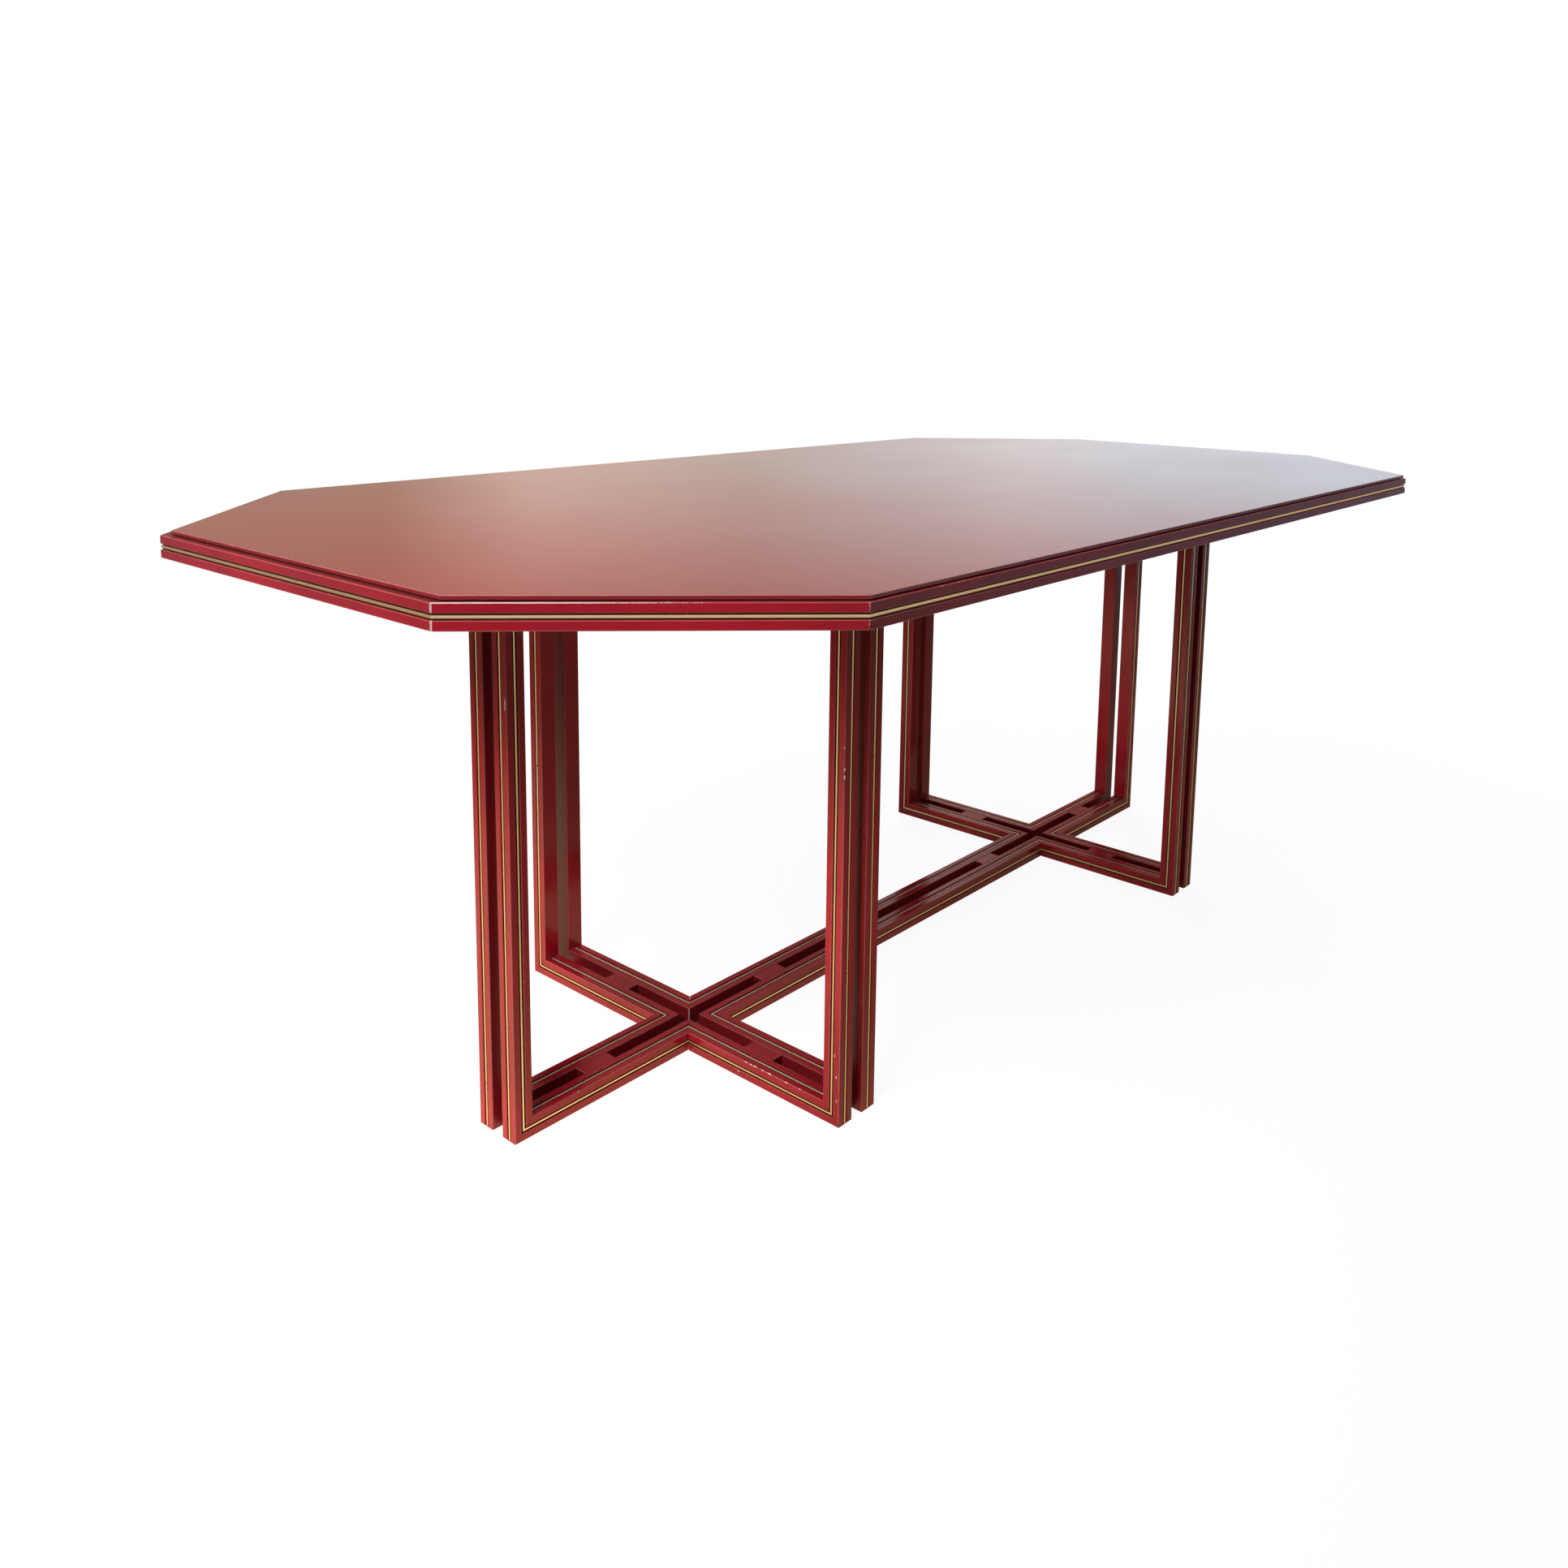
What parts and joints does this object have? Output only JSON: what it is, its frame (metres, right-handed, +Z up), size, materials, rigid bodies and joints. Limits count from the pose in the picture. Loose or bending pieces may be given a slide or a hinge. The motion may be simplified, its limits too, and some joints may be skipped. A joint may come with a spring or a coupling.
{
  "type": "dining table",
  "caption": "Long octagonal dining table: thin raised lacquered top over a mitred edge frame with a brass line, on paired posts and floor bars set back to back with an open channel between.",
  "frame": {"origin": "on the floor, under the centre of the top", "axes": "+X along the table's length, +Y across its width, +Z up"},
  "size_m": [2.0502, 1.0802, 0.7401],
  "materials": {
    "lacquer": "satin",
    "top_lacquer": "satin",
    "brass": "satin",
    "board": "matte"
  },
  "bodies": {
    "root": {"top_panel": "top_lacquer", "top_core": "board", "edge_rail_front": "lacquer", "edge_rail_corner_rf": "lacquer", "edge_rail_end_r": "lacquer", "edge_rail_corner_rb": "lacquer", "edge_rail_back": "lacquer", "edge_rail_corner_lb": "lacquer", "edge_rail_end_l": "lacquer", "edge_rail_corner_lf": "lacquer", "edge_brass": "brass", "corner_lf_post_end": "lacquer", "corner_lf_bar_end": "lacquer", "corner_lf_bar_side": "lacquer", "corner_lf_post_side": "lacquer", "corner_lf_brass_side": "brass", "corner_lf_brass_top": "brass", "corner_lb_post_end": "lacquer", "corner_lb_bar_end": "lacquer", "corner_lb_bar_side": "lacquer", "corner_lb_post_side": "lacquer", "corner_lb_brass_side": "brass", "corner_lb_brass_top": "brass", "corner_rb_post_end": "lacquer", "corner_rb_bar_end": "lacquer", "corner_rb_bar_side": "lacquer", "corner_rb_post_side": "lacquer", "corner_rb_brass_side": "brass", "corner_rb_brass_top": "brass", "corner_rf_post_end": "lacquer", "corner_rf_bar_end": "lacquer", "corner_rf_bar_side": "lacquer", "corner_rf_post_side": "lacquer", "corner_rf_brass_side": "brass", "corner_rf_brass_top": "brass", "side_f_post_1": "lacquer", "side_f_bar_1": "lacquer", "side_f_bar_long": "lacquer", "side_f_bar_2": "lacquer", "side_f_post_2": "lacquer", "side_f_brass_side": "brass", "side_f_brass_top": "brass", "side_b_post_1": "lacquer", "side_b_bar_1": "lacquer", "side_b_bar_long": "lacquer", "side_b_bar_2": "lacquer", "side_b_post_2": "lacquer", "side_b_brass_side": "brass", "side_b_brass_top": "brass", "spacer_end_l": "lacquer", "spacer_stretcher_l": "lacquer", "spacer_side_lf": "lacquer", "spacer_side_lb": "lacquer", "spacer_end_r": "lacquer", "spacer_stretcher_r": "lacquer", "spacer_side_rb": "lacquer", "spacer_side_rf": "lacquer"}
  },
  "joints": []
}
